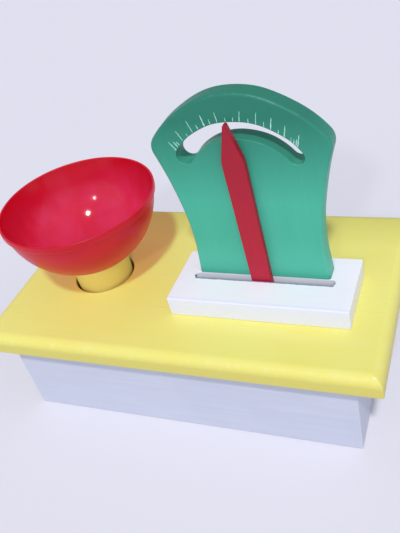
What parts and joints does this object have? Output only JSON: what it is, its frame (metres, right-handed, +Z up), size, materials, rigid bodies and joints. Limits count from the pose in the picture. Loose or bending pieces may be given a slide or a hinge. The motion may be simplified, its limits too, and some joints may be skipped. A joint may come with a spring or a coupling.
{
  "type": "toy shop scale",
  "caption": "Wooden play scale with a white box, a yellow board, a red bowl on a sprung post and a red pointer that swings in front of a green dial board.",
  "frame": {"origin": "middle of the base of the box, on the surface it stands on", "axes": "+X to the right along the width, +Y to the back, +Z up; the dial faces -Y"},
  "size_m": [0.32, 0.182, 0.2531],
  "materials": {
    "yellow_paint": "satin hand-painted wood",
    "white_paint": "satin hand-painted wood",
    "green_paint": "satin hand-painted wood",
    "red_paint": "satin hand-painted wood",
    "bare_wood": "sanded plywood",
    "red_plastic": "glossy, slightly translucent",
    "steel": "zinc plated",
    "brass": "turned",
    "rubber": "matte",
    "felt": "pressed felt"
  },
  "bodies": {
    "case": {"top_board": "yellow_paint", "front_panel": "white_paint", "back_panel": "white_paint", "left_panel": "white_paint", "right_panel": "white_paint", "bottom_panel": "bare_wood", "corner_blocks": "bare_wood", "front_cleat": "bare_wood", "back_cleat": "bare_wood", "slot_block": "white_paint", "dial_board": "green_paint", "dial_dowels": "bare_wood", "dial_screws": "steel", "block_screws": "steel", "board_screws": "steel", "bottom_screws": "steel", "bracket_front": "bare_wood", "bracket_rear": "bare_wood", "bracket_screws": "steel", "axle": "steel", "axle_collars": "steel", "axle_washers": "brass", "guide_rods": "steel", "spring_front": "steel", "spring_rear": "steel", "spring_washers": "steel", "stop_bumpers": "rubber", "stop_pads": "felt"},
    "lift": {"lift_plate": "bare_wood", "post": "yellow_paint", "post_screws": "steel", "bowl": "red_plastic", "link_pin": "steel", "guide_bushes": "brass"},
    "pointer_arm": {"pointer": "red_paint", "crank": "bare_wood", "crank_screws": "steel", "hub_bush": "brass"}
  },
  "joints": [
    {"name": "bowl_slide", "type": "slide", "parent": "case", "child": "lift", "axis": [0, 0, 1], "range_m": [-0.0145, 0.0145], "stiffness_N_per_m": 150, "springref_m": 0.013, "deforming": ["spring_front", "spring_rear"]},
    {"name": "pointer_swing", "type": "hinge", "parent": "case", "child": "pointer_arm", "pos_m": [0.0636, -0.0171, 0.0485], "axis": [0, 1, 0], "range_deg": [-13.3, 13.3]}
  ],
  "couplings": [
    {"joint": "pointer_swing", "follows": "bowl_slide", "rad_per_m": 15.95}
  ]
}
